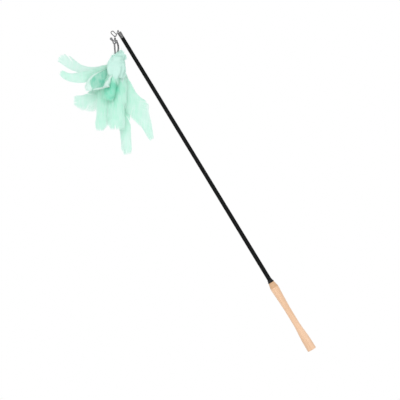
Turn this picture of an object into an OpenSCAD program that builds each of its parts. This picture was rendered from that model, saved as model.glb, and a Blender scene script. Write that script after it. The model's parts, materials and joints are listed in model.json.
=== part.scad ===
// Cat teaser wand: a turned wooden handle, a slim black rod, and a feather lure
// that hangs from a swivel clasp at the tip.
// Millimetres. The origin is the middle of the grip, on the handle's axis, +Z is up,
// and the wand leans towards -X as it is held in use, so that the lure hangs free.

/* [Stance] */
// Angle between the wand and the vertical, in degrees
lean = 31.3; // [28:0.1:40]

/* [Handle] */
// Length of the wooden handle
handle_len = 106; // [96:1:130]
// Diameter of the flat top of the handle
handle_top_d = 8; // [7.8:0.1:9]
// Diameter at the shoulder, the upper rim of the grip
shoulder_d = 11.8; // [10.5:0.1:14]
// Length of the bevel from the flat top down to the shoulder
bevel_len = 8; // [5:0.5:12]
// Length of the taper from the shoulder down to the waist
taper_len = 36; // [28:1:38]
// Diameter of the waist, where the fingers close
waist_d = 8.5; // [8.2:0.1:10]
// Length of the flare from the waist down to the butt
flare_len = 41; // [36:1:44]
// Diameter at the butt
butt_d = 12.4; // [11:0.1:16]
// Radius of the butt's rounded edge
butt_edge_r = 0.7; // [0.3:0.1:1.5]
// Depth of the blind hole that holds the rod
socket_depth = 40; // [25:1:60]

/* [Rod and collar] */
// Length of bare rod between the handle and the ferrule
rod_len = 385; // [250:5:600]
// Diameter of the rod at the handle
rod_root_d = 6; // [5.4:0.1:6.4]
// Diameter of the rod at the ferrule
rod_tip_d = 5.4; // [5:0.1:5.5]
// Diameter of the collar's rim, against the handle
collar_d = 8.6; // [8:0.1:10]
// Height of the collar
collar_h = 4.2; // [3:0.1:8]
// Height of the collar's straight rim
collar_rim_h = 1.5; // [1:0.1:2]

/* [Ferrule and eye] */
// Length of the metal cap on the rod's tip
ferrule_len = 9; // [8:0.5:14]
// Outer diameter of the cap
ferrule_d = 5.6; // [5.5:0.1:6]
// Diameter of the bent wire that makes the eye
eye_wire_d = 1.2; // [0.9:0.05:1.2]
// Height of the wire's bend above the ferrule
eye_rise = 2.9; // [2:0.1:4]
// Radius of the eye's round ends, to the middle of the wire
eye_r = 1.9; // [1.8:0.05:2.2]
// Distance between the middles of the eye's two round ends
eye_span = 4.8; // [3:0.1:6]
// How far the eye's lower end lies beside the tip
eye_reach = 5.5; // [5:0.1:8]
// How far the eye's lower end lies below the tip
eye_drop = 3.8; // [3:0.1:6]

/* [Swivel] */
// Diameter of the bail's wire
bail_wire_d = 1; // [0.8:0.05:1.1]
// Radius of the bail, to the middle of its wire
bail_r = 2.3; // [2.2:0.05:3]
// Diameter of the boss at the foot of the bail
boss_d = 2.6; // [2.2:0.1:3.2]
// Height of that boss
boss_h = 1.6; // [1.2:0.1:2.4]
// Diameter of the rivet that the clasp turns on
post_d = 1; // [0.8:0.05:1.2]
// Diameter of the rivet's head
post_head_d = 1.7; // [1.4:0.05:1.8]
// Height of the rivet's head
post_head_h = 0.6; // [0.4:0.05:0.8]

/* [Clasp] */
// Length of the claw, from its top to the bottom of its nose
claw_len = 19.8; // [18:0.1:26]
// Thickness of the claw's shoulder, front to back
claw_t = 3.4; // [3.2:0.1:4.2]
// Diameter of the claw's rounded back and nose
spine_d = 2.2; // [1.6:0.1:2.3]
// Radius of the back's bow
spine_bow_r = 16.3; // [15:0.1:20]
// How far the back bulges beyond the swivel's axis
spine_bulge = 4.6; // [4.4:0.1:5.5]
// Radius of the nose's bend, to its middle
nose_r = 1.65; // [1.55:0.05:1.9]
// Width of the gate's arm
gate_w = 2.1; // [1.4:0.05:2.2]
// Thickness of the gate, front to back
gate_t = 1.8; // [1.6:0.1:2.2]
// Diameter of the thumb pad on the gate's lever
thumb_pad_d = 3.5; // [2.6:0.1:3.6]
// Distance from the gate's pin to the middle of the thumb pad
lever_len = 6.3; // [5:0.1:7]
// Diameter of the gate's pin
pin_d = 0.8; // [0.6:0.05:0.9]
// How far the gate opens, in degrees
gate_press = 7; // [4:0.5:7]
// Diameter of the spring's wire
spring_wire_d = 0.22; // [0.15:0.01:0.26]
// Turns of the spring
spring_turns = 3; // [2:1:4]

/* [Lure] */
// Diameter of the jump ring's wire
ring_wire_d = 0.8; // [0.6:0.05:0.9]
// Radius of the jump ring, to the middle of its wire
ring_r = 2.2; // [2.15:0.05:3]
// Diameter of the wire eye on the lure's cap
cap_eye_wire_d = 0.7; // [0.5:0.05:0.75]
// Radius of that eye, to the middle of its wire
cap_eye_r = 1.1; // [1.08:0.02:1.5]
// Diameter of the cap that gathers the quills
cap_d = 6; // [5.6:0.1:8]
// Height of the cap
cap_h = 4; // [4:0.5:8]
// Diameter of the binding thread
thread_d = 0.5; // [0.4:0.05:0.5]
// Turns of the binding thread
thread_turns = 3; // [2:1:3]
// Space between two turns of the thread
thread_space = 0.42; // [0.41:0.01:0.45]
// Length of the longest feather, from the cap to its tip
feather_reach = 128; // [110:1:150]
// Thickness of a feather's vane
vane_t = 0.8; // [0.6:0.1:1]
// Diameter of a quill at the cap
quill_d = 0.9; // [0.7:0.05:1]

/* [Hidden] */

// Facets of a full round, and of a round inside a small bend
$fn = 64;
bend_fn = 32;

// Fits and gaps
glue_gap = 0.03;
running_gap = 0.05;
link_gap = 0.1;
side_gap = 0.1;
clear_gap = 0.25;
cut_over = 1;

// Places along the wand, measured from the middle of the grip
top_s = handle_len / 2;
ferrule_s = top_s + rod_len;
tip_s = ferrule_s + ferrule_len;
tip = [-tip_s * sin(lean), 0, tip_s * cos(lean)];

// Handle
taper_power = 1.3;
swell_share = 0.68;
steady_share = 0.28;
taper_steps = 9;
flare_steps = 14;
edge_steps = 5;

// Rod and ferrule
spigot_len = 5.5;
spigot_step = 0.6;
spigot_d = rod_tip_d - 2 * spigot_step;
crimp_from_end = 1.5;
crimp_w = 0.8;
crimp_depth = 0.25;
ferrule_edge = 0.5;
shank_in = 2.4;
knee_share = 1.08;
run_share = 0.96;
lap = 0.1;
collar_lip = 0.45;
collar_top_d = rod_root_d + 2 * collar_lip;

// Eye, in the picture plane through the tip
wand_way = [-sin(lean), cos(lean)];
eye_slant = 45;
eye_low = [-eye_reach, -eye_drop];
eye_high = eye_low + eye_span * [-sin(eye_slant), cos(eye_slant)];

// Swivel, below the eye's lower end
swivel_x = eye_low.x;
eye_foot_z = eye_low.y - eye_r;
bail_top_z = eye_foot_z + (eye_wire_d + bail_wire_d) / 2 + link_gap;
bail_z = bail_top_z - bail_r;
boss_top_z = bail_z - bail_r + boss_h / 2;
boss_foot_z = boss_top_z - boss_h;
post_grip = 1.5;

// Claw
claw_top_z = boss_foot_z - clear_gap;
hub_d = 3.8;
hub = [swivel_x, claw_top_z - hub_d / 2];
pin_beside = 0.8;
pin_below = 3.4;
gate_pin_at = [swivel_x - pin_beside, claw_top_z - pin_below];
cheek_d = 4.8;
web_w = 3.4;
bow_z_share = 0.55;
bow = [swivel_x + spine_bulge - spine_bow_r, claw_top_z - bow_z_share * claw_len];
nose_z = claw_top_z - claw_len + nose_r + spine_d / 2;
nose = [bow.x + sqrt(pow(spine_bow_r - nose_r, 2) - pow(nose_z - bow.y, 2)), nose_z];
nose_turn = atan2(nose.y - bow.y, nose.x - bow.x);
nose_end_turn = -155;
nose_share = 0.94;
nose_d = spine_d * nose_share;
nose_lap = 3;
spine_top_turn = 33;
spine_top = bow + spine_bow_r * [cos(spine_top_turn), sin(spine_top_turn)];
nose_end = nose + nose_r * [cos(nose_end_turn), sin(nose_end_turn)];

// Gate, drawn from its pin
gate_hub_d = 3;
lever_w = 2.4;
lever_turn = 133;
pad_t = 2.6;
arm_end = [nose_end.x, nose_end.y + spine_d / 2 + clear_gap + gate_w / 2] - gate_pin_at;
lever_end = lever_len * [cos(lever_turn), sin(lever_turn)];
pin_head_d = 1.4;
pin_head_h = 0.3;
pocket_d = 2.3;
pocket_floor = 0.55;
pocket_depth = gate_t - pocket_floor;
spring_r = (pin_d + pocket_d) / 4;
spring_pitch = (pocket_depth - spring_wire_d - 2 * side_gap) / spring_turns;
spring_steps = 12;
spring_sides = 6;

// Lure
nose_foot_z = nose.y - nose_r;
ring_top_z = nose_foot_z + (spine_d + ring_wire_d) / 2 + link_gap;
ring_z = ring_top_z - ring_r;
ring_foot_z = ring_z - ring_r;
cap_eye_gap = 0.05;
cap_eye_top_z = ring_foot_z + (ring_wire_d + cap_eye_wire_d) / 2 + cap_eye_gap;
cap_eye_z = cap_eye_top_z - cap_eye_r;
cap_top_z = cap_eye_z - cap_eye_r;
cap_foot = [nose.x, 0, cap_top_z - cap_h];
cap_wall = 0.5;
cap_roof = 1;
cap_edge = 0.6;
thread_steps = 24;
thread_sides = 6;
thread_gap = 0.02;
thread_r = cap_d / 2 + thread_gap + thread_d / 2;
thread_pitch = thread_d + thread_space;
quill_in = cap_h - cap_roof - clear_gap;

// Feathers: a quill starts at its slot in the cap and runs through three guide points,
// each x, y, z as shares of the longest reach. Then the widest part of the vane as a share
// of that reach, its cup as a share of the half width, and the powers that set where the
// vane is widest (low: near the root) and how blunt its end is (low: blunt).
outer_slots = 8;
inner_slots = 4;
outer_slot_r = 1.9;
inner_slot_r = 0.8;
inner_slot_turn = 22.5;
front = [0, -1, 0];
back = [0, 1, 0];
long_left_shares = [[-0.16, 0.04, -0.19], [-0.36, 0.11, -0.09], [-0.615, 0.165, 0.01], 0.14, 0.1, 1.3, 0.45];
low_left_shares = [[-0.16, -0.045, -0.16], [-0.38, -0.1, -0.24], [-0.57, -0.155, -0.15], 0.125, 0.1, 0.8, 0.6];
curled_shares = [[-0.07, -0.07, -0.14], [-0.26, -0.12, -0.15], [-0.235, -0.11, -0.33], 0.15, 0.75, 0.8, 0.6];
blunt_left_shares = [[-0.06, 0.02, -0.25], [-0.2, 0.04, -0.46], [-0.445, 0.03, -0.45], 0.2, 0.15, 1.5, 0.4];
fluffy_left_shares = [[-0.03, -0.04, -0.24], [-0.13, -0.07, -0.5], [-0.165, -0.03, -0.75], 0.17, 0.12, 0.95, 0.5];
fluffy_mid_shares = [[0.01, -0.07, -0.22], [-0.02, -0.1, -0.45], [-0.02, -0.08, -0.74], 0.19, 0.12, 1.1, 0.35];
straight_shares = [[0.05, 0.02, -0.3], [0.08, 0.03, -0.62], [0.107, 0.02, -0.995], 0.115, 0.1, 1.2, 0.25];
pointed_right_shares = [[0.06, -0.01, -0.3], [0.2, 0, -0.47], [0.37, -0.03, -0.84], 0.205, 0.12, 1.3, 0.8];
back_left_shares = [[-0.07, 0.09, -0.18], [-0.13, 0.14, -0.36], [-0.15, 0.16, -0.58], 0.15, 0.1, 0.9, 0.6];
back_mid_shares = [[0, 0.14, -0.15], [0.02, 0.25, -0.35], [-0.02, 0.29, -0.66], 0.15, 0.1, 0.9, 0.6];
back_right_shares = [[0.045, 0.11, -0.15], [0.12, 0.18, -0.33], [0.12, 0.22, -0.52], 0.14, 0.1, 0.9, 0.6];
core_shares = [[-0.01, -0.1, -0.1], [-0.05, -0.16, -0.24], [-0.07, -0.16, -0.44], 0.12, 0.2, 0.8, 0.6];
feather_rings = 12;
feather_sides = 8;
vane_start_share = 0.25;

// Down tufts round the cap, each rooted at the thread: the turn that it faces, how high its
// root lies as a share of the cap's height, and how far out and up its tip lies from there
// as shares of the reach
tuft_shares = [
    [-14, 0.75, 0.04, 0.085],
    [16, 0.5, 0.075, 0.025],
    [160, 0.5, 0.06, 0.01],
    [252, 0.6, 0.055, 0.005],
    [76, 0.6, 0.06, 0.01],
];
tuft_w_share = 0.04;
tuft_t_share = 0.02;
tuft_root_share = 0.3;
tuft_lead = 0.7;
tuft_gap = 0.2;
tuft_rings = 6;

// Vectors and curves

function unit(v) = v / norm(v);

// Point of a cubic curve through four guide points, and its direction there
function curve_at(p, t) =
    pow(1 - t, 3) * p[0] + 3 * t * pow(1 - t, 2) * p[1] + 3 * t * t * (1 - t) * p[2] + pow(t, 3) * p[3];
function curve_way(p, t) =
    unit(pow(1 - t, 2) * (p[1] - p[0]) + 2 * t * (1 - t) * (p[2] - p[1]) + t * t * (p[3] - p[2]));

function ease(x) = (1 - cos(180 * x)) / 2;

// Solid through a list of rings that have the same number of points each
module sweep(rings) {
    sides = len(rings[0]);
    last = len(rings) - 1;
    polyhedron(
        points = [for (ring = rings) each ring],
        faces = concat(
            [for (j = [1 : sides - 2]) [0, j + 1, j]],
            [for (j = [1 : sides - 2]) [last * sides, last * sides + j, last * sides + j + 1]],
            [for (i = [0 : last - 1], j = [0 : sides - 1])
                [i * sides + j, i * sides + (j + 1) % sides, (i + 1) * sides + j]],
            [for (i = [0 : last - 1], j = [0 : sides - 1])
                [i * sides + (j + 1) % sides, (i + 1) * sides + (j + 1) % sides, (i + 1) * sides + j]]
        )
    );
}

// Middle line of a wire wound round the Z axis, from z = 0 up, and the least gap between
// two stretches of it that lie half a turn or more apart
function coil_line(r, wire_d, pitch, turns, steps) =
    [for (i = [0 : turns * steps])
        let (turn = 360 * i / steps)
        [r * cos(turn), r * sin(turn), wire_d / 2 + pitch * i / steps]];
function least_gap(line, wire_d, apart) =
    min([for (i = [0 : len(line) - 1]) for (j = [i + apart : len(line) - 1]) norm(line[i] - line[j])]) - wire_d;

// The wound wire itself
module coil(r, wire_d, pitch, turns, steps, sides) {
    sweep([for (i = [0 : turns * steps])
        let (turn = 360 * i / steps, z = wire_d / 2 + pitch * i / steps)
        [for (j = [0 : sides - 1])
            let (a = 360 * j / sides, out = r + wire_d / 2 * cos(a))
            [out * cos(turn), out * sin(turn), z + wire_d / 2 * sin(a)]]]);
}

// Straight and bent wire in the picture plane, whose points are [x, z]. A run is a hair
// thinner than a bend and laps into it.

module wire_run(from, to, d) {
    way = to - from;
    translate([from.x, 0, from.y])
        rotate([0, atan2(way.x, way.y), 0])
            translate([0, 0, -lap])
                cylinder(d = d * run_share, h = norm(way) + 2 * lap, $fn = bend_fn);
}

// Ball at a sharp bend, a little thicker than the wire, as a pinched bend is
module wire_knee(at, d) {
    translate([at.x, 0, at.y]) sphere(d = d * knee_share, $fn = bend_fn);
}

module wire_bend(mid, r, from, sweep, d) {
    translate([mid.x, 0, mid.y])
        rotate([90, 0, 0])
            rotate([0, 0, from])
                rotate_extrude(angle = sweep) translate([r, 0]) circle(d = d, $fn = bend_fn);
}

// Flat outline in the picture plane, t thick, and a round-ended bar to build it from

module plate(t) {
    rotate([90, 0, 0]) linear_extrude(t, center = true) children();
}

module bar(from, to, w) {
    way = to - from;
    translate(from)
        rotate(atan2(way.y, way.x)) {
            translate([0, -w / 2]) square([norm(way), w]);
            circle(d = w);
            translate([norm(way), 0]) circle(d = w);
        }
}

// Puts what is drawn along Z, from the grip upwards, on the leaning axis of the wand
module on_wand(s = 0) {
    rotate([0, -lean, 0]) translate([0, 0, s]) children();
}

module at_tip() {
    translate(tip) children();
}

// Handle and rod

// Diameter of the handle at a distance below its top
function flare_at(x) = (1 - steady_share) * ease(min(1, x / swell_share)) + steady_share * x;
function handle_d_at(down) =
    down < bevel_len + taper_len
        ? waist_d + (shoulder_d - waist_d) * pow(1 - (down - bevel_len) / taper_len, taper_power)
        : waist_d + (butt_d - waist_d) * flare_at(max(0, down - handle_len + flare_len) / flare_len);

module handle() {
    taper = [for (i = [0 : taper_steps]) bevel_len + taper_len * i / taper_steps];
    flare_from = handle_len - flare_len;
    flare = [for (i = [0 : flare_steps]) flare_from + (flare_len - butt_edge_r) * i / flare_steps];
    profile = concat(
        [[0, 0], [handle_top_d / 2, 0]],
        [for (down = taper) [handle_d_at(down) / 2, -down]],
        [for (down = flare) if (down > bevel_len + taper_len) [handle_d_at(down) / 2, -down]],
        [for (i = [1 : edge_steps])
            let (a = 90 * i / edge_steps)
            [handle_d_at(handle_len - butt_edge_r) / 2 - butt_edge_r * (1 - cos(a)),
             -handle_len + butt_edge_r * (1 - sin(a))]],
        [[0, -handle_len]]
    );
    color("burlywood")
        on_wand(top_s)
            difference() {
                rotate_extrude() polygon(profile);
                translate([0, 0, -socket_depth])
                    cylinder(d = rod_root_d + 2 * glue_gap, h = socket_depth + cut_over);
            }
}

module rod() {
    foot = socket_depth - clear_gap;
    color([0.11, 0.12, 0.12])
        on_wand(top_s) {
            translate([0, 0, -foot]) cylinder(d = rod_root_d, h = foot);
            cylinder(d1 = rod_root_d, d2 = rod_tip_d, h = rod_len);
            translate([0, 0, rod_len]) cylinder(d = spigot_d, h = spigot_len);
        }
}

module collar() {
    bore_r = rod_root_d / 2 + glue_gap;
    neck = collar_h - collar_rim_h;
    color([0.07, 0.07, 0.07])
        on_wand(top_s)
            rotate_extrude()
                polygon(concat(
                    [[bore_r, 0], [collar_d / 2, 0], [collar_d / 2, collar_rim_h]],
                    [for (i = [1 : edge_steps])
                        let (a = 90 * i / edge_steps)
                        [collar_top_d / 2 + (collar_d - collar_top_d) / 2 * (1 - sin(a)),
                         collar_rim_h + neck * (1 - cos(a))]],
                    [[bore_r, collar_h]]
                ));
}

module tip_ferrule() {
    crimp_z = crimp_from_end;
    color([0.45, 0.45, 0.46])
        on_wand(ferrule_s)
            difference() {
                rotate_extrude()
                    polygon([
                        [0, 0],
                        [ferrule_d / 2, 0],
                        [ferrule_d / 2, crimp_z],
                        [ferrule_d / 2 - crimp_depth, crimp_z + crimp_w / 2],
                        [ferrule_d / 2, crimp_z + crimp_w],
                        [ferrule_d / 2, ferrule_len - ferrule_edge],
                        [ferrule_d / 2 - ferrule_edge, ferrule_len],
                        [0, ferrule_len],
                    ]);
                translate([0, 0, -cut_over])
                    cylinder(d = spigot_d + 2 * glue_gap, h = spigot_len + clear_gap + cut_over);
                translate([0, 0, ferrule_len - shank_in - clear_gap])
                    cylinder(d = eye_wire_d + 2 * glue_gap, h = shank_in + clear_gap + cut_over);
            }
}

// Eye of bent wire: out of the ferrule, over a tight bend and down into a slanted oval
module tip_eye() {
    apex = eye_rise * wand_way;
    side = eye_r * [cos(eye_slant), sin(eye_slant)];
    color([0.72, 0.72, 0.74])
        at_tip() {
            wire_run(-shank_in * wand_way, apex, eye_wire_d);
            wire_knee(apex, eye_wire_d);
            wire_run(apex, eye_low + [eye_r, 0], eye_wire_d);
            wire_bend(eye_low, eye_r, eye_slant - 180, 180, eye_wire_d);
            wire_bend(eye_high, eye_r, eye_slant, 180, eye_wire_d);
            wire_run(eye_low + side, eye_high + side, eye_wire_d);
            wire_run(eye_low - side, eye_high - side, eye_wire_d);
        }
}

// Swivel: a bail that hangs in the eye, and the rivet that turns in its boss

module swivel_bail() {
    color([0.66, 0.66, 0.68])
        at_tip()
            translate([swivel_x, 0, 0])
                difference() {
                    union() {
                        translate([0, 0, bail_z])
                            rotate([0, 90, 0])
                                rotate_extrude() translate([bail_r, 0]) circle(d = bail_wire_d, $fn = bend_fn);
                        translate([0, 0, boss_foot_z]) cylinder(d = boss_d, h = boss_h);
                    }
                    translate([0, 0, boss_foot_z - cut_over])
                        cylinder(d = post_d + 2 * running_gap, h = boss_h + 2 * cut_over);
                }
}

module swivel_post() {
    head_z = boss_top_z + running_gap;
    foot_z = claw_top_z - post_grip;
    color([0.72, 0.72, 0.74])
        at_tip()
            translate([swivel_x, 0, 0]) {
                translate([0, 0, foot_z]) cylinder(d = post_d, h = head_z + post_head_h - foot_z);
                translate([0, 0, head_z]) cylinder(d = post_head_d, h = post_head_h);
            }
}

// Clasp: the claw, and the gate that turns on a pin between its two cheeks

module claw_outline() {
    bar(hub, gate_pin_at, hub_d);
    bar(hub, spine_top, web_w);
    bar(gate_pin_at, spine_top, web_w);
    translate(gate_pin_at) circle(d = cheek_d);
}

// Outline of the gate round its pin
module gate_outline() {
    bar([0, 0], arm_end, gate_w);
    bar([0, 0], lever_end, lever_w);
    circle(d = gate_hub_d);
}

// Room for the gate's hub, arm and lever between the cheeks, from shut to pressed
module gate_room() {
    for (press = [0, gate_press])
        rotate(press) {
            bar([0, 0], cheek_d * unit(arm_end), gate_w + 2 * clear_gap);
            bar([0, 0], lever_end, lever_w + 2 * clear_gap);
            circle(d = gate_hub_d + 2 * clear_gap);
        }
}

module claw_body() {
    color([0.6, 0.6, 0.62])
        at_tip()
            difference() {
                union() {
                    plate(claw_t) claw_outline();
                    wire_bend(bow, spine_bow_r, nose_turn, spine_top_turn - nose_turn, spine_d);
                    wire_bend(nose, nose_r, nose_end_turn, nose_turn + nose_lap - nose_end_turn, nose_d);
                    wire_knee(nose_end, nose_d);
                }
                plate(gate_t + 2 * side_gap) translate(gate_pin_at) gate_room();
                translate([gate_pin_at.x, 0, gate_pin_at.y])
                    rotate([90, 0, 0])
                        cylinder(d = pin_d + 2 * glue_gap, h = claw_t + 2 * cut_over, center = true);
                translate([swivel_x, 0, claw_top_z - post_grip])
                    cylinder(d = post_d + 2 * glue_gap, h = post_grip + cut_over);
            }
}

module gate_pin() {
    shank = claw_t + 2 * glue_gap;
    color([0.75, 0.75, 0.77])
        at_tip()
            translate([gate_pin_at.x, 0, gate_pin_at.y])
                rotate([90, 0, 0]) {
                    cylinder(d = pin_d, h = shank + 2 * pin_head_h, center = true);
                    for (side = [0, 1])
                        mirror([0, 0, side])
                            translate([0, 0, shank / 2]) cylinder(d = pin_head_d, h = pin_head_h);
                }
}

// Torsion spring in the gate's pocket, round the pin
module gate_spring() {
    color([0.8, 0.8, 0.82])
        at_tip()
            translate([gate_pin_at.x, -gate_t / 2 + side_gap, gate_pin_at.y])
                rotate([-90, 0, 0])
                    coil(spring_r, spring_wire_d, spring_pitch, spring_turns, spring_steps, spring_sides);
}

module gate() {
    color([0.68, 0.68, 0.7])
        at_tip()
            translate([gate_pin_at.x, 0, gate_pin_at.y])
                difference() {
                    union() {
                        plate(gate_t) gate_outline();
                        plate(pad_t) translate(lever_end) circle(d = thumb_pad_d);
                    }
                    rotate([90, 0, 0])
                        cylinder(d = pin_d + 2 * running_gap, h = gate_t + 2 * cut_over, center = true);
                    translate([0, pocket_depth - gate_t / 2, 0])
                        rotate([90, 0, 0]) cylinder(d = pocket_d, h = pocket_depth + cut_over);
                }
}

// Lure

module lure_ring() {
    color([0.72, 0.72, 0.74])
        at_tip()
            translate([nose.x, 0, ring_z])
                rotate([0, 90, 0])
                    rotate_extrude() translate([ring_r, 0]) circle(d = ring_wire_d, $fn = bend_fn);
}

module lure_cap() {
    color([0.75, 0.93, 0.87])
        at_tip() {
            wire_bend([nose.x, cap_eye_z], cap_eye_r, 0, 360, cap_eye_wire_d);
            translate(cap_foot)
                rotate_extrude()
                    polygon([
                        [cap_d / 2 - cap_wall, 0],
                        [cap_d / 2, 0],
                        [cap_d / 2, cap_h - cap_edge],
                        [cap_d / 2 - cap_edge, cap_h],
                        [0, cap_h],
                        [0, cap_h - cap_roof],
                        [cap_d / 2 - cap_wall, cap_h - cap_roof],
                    ]);
        }
}

module binding_thread() {
    wound = thread_pitch * thread_turns + thread_d;
    line = coil_line(thread_r, thread_d, thread_pitch, thread_turns, thread_steps);
    echo(thread_least_gap = least_gap(line, thread_d, thread_steps / 2));
    color([0.85, 0.97, 0.92])
        at_tip()
            translate(cap_foot + [0, 0, (cap_h - cap_edge - wound) / 2])
                coil(thread_r, thread_d, thread_pitch, thread_turns, thread_steps, thread_sides);
}

function slot_place(r, turn) = [r * cos(turn), r * sin(turn), 0];
function outer_slot(i) = slot_place(outer_slot_r, 360 * i / outer_slots);
function inner_slot(i) = slot_place(inner_slot_r, inner_slot_turn + 360 * i / inner_slots);

// Half the width of a vane along its length: a thin bare quill, then the vane
function vane_at(t, half_w, lead, blunt) =
    quill_d / 2 + (half_w - quill_d / 2) * pow(max(0, sin(180 * pow(t, lead))), blunt) * ease(min(1, t / vane_start_share));

// One ring round the quill: flat, with its two edges cupped to the face's side
function vane_ring(at, way, face, half_w, half_t, cup) =
    let (side = unit(cross(way, face)), out = cross(side, way))
    [for (j = [0 : feather_sides - 1])
        let (a = 360 * j / feather_sides)
        at + side * half_w * cos(a) + out * (half_t * sin(a) + cup * half_w * pow(cos(a), 2))];

module feather(slot, shares, face) {
    guide = [slot, for (i = [0 : 2]) slot + feather_reach * shares[i]];
    half_w = feather_reach * shares[3] / 2;
    cup = shares[4];
    quill = [for (z = [quill_in, 0])
        vane_ring(slot + [0, 0, z], [0, 0, -1], face, quill_d / 2, quill_d / 2, 0)];
    vane = [for (i = [1 : feather_rings])
        let (t = i / feather_rings, w = vane_at(t, half_w, shares[5], shares[6]))
        vane_ring(
            curve_at(guide, t), curve_way(guide, t), face, w,
            quill_d / 2 * (1 - t) + vane_t / 2 * t, cup * ease(t)
        )];
    color([0.77, 0.94, 0.88])
        at_tip() translate(cap_foot) sweep(concat(quill, vane));
}

module down_tufts() {
    half_w = feather_reach * tuft_w_share / 2;
    half_t = feather_reach * tuft_t_share / 2;
    root_r = cap_d / 2 + thread_gap + thread_d + tuft_gap + half_t * tuft_root_share;
    color([0.83, 0.96, 0.91])
        at_tip()
            translate(cap_foot)
                for (place = tuft_shares) {
                    out = [cos(place[0]), sin(place[0]), 0];
                    root = root_r * out + [0, 0, cap_h * place[1]];
                    way = feather_reach * (place[2] * out + [0, 0, place[3]]);
                    face = unit(cross(way, cross(out, way)));
                    sweep([for (i = [0 : tuft_rings])
                        let (
                            t = i / tuft_rings,
                            full = tuft_root_share + (1 - tuft_root_share) * sin(180 * pow(t, tuft_lead))
                        )
                        vane_ring(root + way * t, unit(way), face, half_w * full, half_t * full, 0)]);
                }
}

handle();
rod();
collar();
tip_ferrule();
tip_eye();
swivel_bail();
swivel_post();
claw_body();
gate_pin();
gate_spring();
gate();
lure_ring();
lure_cap();
binding_thread();
down_tufts();
feather(outer_slot(0), pointed_right_shares, front);  // feather_pointed_right
feather(outer_slot(1), back_right_shares, back);  // feather_back_right
feather(outer_slot(2), back_mid_shares, back);  // feather_back_mid
feather(outer_slot(3), long_left_shares, front);  // feather_long_left
feather(outer_slot(4), low_left_shares, front);  // feather_low_left
feather(outer_slot(5), curled_shares, front);  // feather_curled
feather(inner_slot(3), fluffy_left_shares, front);  // feather_fluffy_left
feather(outer_slot(7), fluffy_mid_shares, front);  // feather_fluffy_mid
feather(inner_slot(0), straight_shares, front);  // feather_straight
feather(inner_slot(1), back_left_shares, back);  // feather_back_left
feather(inner_slot(2), blunt_left_shares, front);  // feather_blunt_left
feather(outer_slot(6), core_shares, front);  // feather_core
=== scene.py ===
import json
import math

import bpy
import numpy as np
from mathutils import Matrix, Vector

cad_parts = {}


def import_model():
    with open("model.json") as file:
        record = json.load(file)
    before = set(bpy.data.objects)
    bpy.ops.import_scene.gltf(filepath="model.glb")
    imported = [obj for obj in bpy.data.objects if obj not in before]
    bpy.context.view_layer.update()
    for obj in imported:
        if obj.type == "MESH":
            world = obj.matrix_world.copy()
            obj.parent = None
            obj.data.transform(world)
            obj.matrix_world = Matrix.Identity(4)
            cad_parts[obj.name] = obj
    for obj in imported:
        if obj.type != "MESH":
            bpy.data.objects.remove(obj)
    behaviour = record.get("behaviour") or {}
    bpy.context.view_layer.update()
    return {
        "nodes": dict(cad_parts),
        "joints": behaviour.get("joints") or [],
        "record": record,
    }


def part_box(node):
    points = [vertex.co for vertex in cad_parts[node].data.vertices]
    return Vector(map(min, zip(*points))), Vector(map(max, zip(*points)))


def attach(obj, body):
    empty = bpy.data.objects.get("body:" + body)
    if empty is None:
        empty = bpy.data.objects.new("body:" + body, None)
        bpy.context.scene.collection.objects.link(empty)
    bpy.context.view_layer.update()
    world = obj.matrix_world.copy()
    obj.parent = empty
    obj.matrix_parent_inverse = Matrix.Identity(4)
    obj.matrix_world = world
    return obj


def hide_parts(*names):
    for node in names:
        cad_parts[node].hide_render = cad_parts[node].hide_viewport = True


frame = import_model()

# Lengths are in millimetres unless a comment says metres, and MM turns them into Blender's metres
MM = 0.001

FRONT = np.array([0.0, -1.0, 0.0])
BACK = np.array([0.0, 1.0, 0.0])
RIGHT = np.array([1.0, 0.0, 0.0])
UP = np.array([0.0, 0.0, 1.0])
TINY = 1e-12


def unit(v):
    """A vector, or each vector of an array, made one long."""
    return v / np.maximum(np.linalg.norm(v, axis=-1, keepdims=True), TINY)


def ease(x):
    """Rises smoothly from 0 to 1 as x does."""
    return (1 - np.cos(np.pi * np.clip(x, 0, 1))) / 2


JOINTS = {joint["name"]: np.array(joint["pos_m"]) / MM for joint in frame["joints"]}
MOUNTS = {mount["name"]: mount for mount in frame["record"]["mounts"]}

# The wand's axis, from the grip to the tip, and its lean
WAND_WAY = unit(np.array(MOUNTS["grip"]["axis"]))
LEAN = math.atan2(-WAND_WAY[0], WAND_WAY[2])


# Meshes

def make_mesh(name, points, face_groups, smooth=True):
    """Mesh object from points and arrays of faces, each array with its own corner count."""
    mesh = bpy.data.meshes.new(name)
    mesh.vertices.add(len(points))
    mesh.vertices.foreach_set("co", (np.asarray(points) * MM).astype(np.float32).ravel())
    corners = np.concatenate([np.asarray(faces).ravel() for faces in face_groups])
    sizes = np.concatenate([np.full(len(faces), np.shape(faces)[1]) for faces in face_groups])
    starts = np.concatenate([[0], np.cumsum(sizes)[:-1]])
    mesh.loops.add(len(corners))
    mesh.loops.foreach_set("vertex_index", corners.astype(np.int32))
    mesh.polygons.add(len(sizes))
    mesh.polygons.foreach_set("loop_start", starts.astype(np.int32))
    mesh.polygons.foreach_set("use_smooth", np.full(len(sizes), smooth))
    mesh.update(calc_edges=True)
    mesh.validate()
    obj = bpy.data.objects.new(name, mesh)
    bpy.context.scene.collection.objects.link(obj)
    return obj


def dress(obj, body, material, node):
    """Gives a piece its material and its body, and hides the CAD node that it stands for."""
    obj.data.materials.clear()
    obj.data.materials.append(material)
    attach(obj, body)
    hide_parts(node)
    return obj


def point_value(obj, name, values):
    """Gives each point of a mesh a number that its material can read."""
    attribute = obj.data.attributes.new(name, "FLOAT", "POINT")
    attribute.data.foreach_set("value", np.asarray(values, np.float32))


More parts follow.
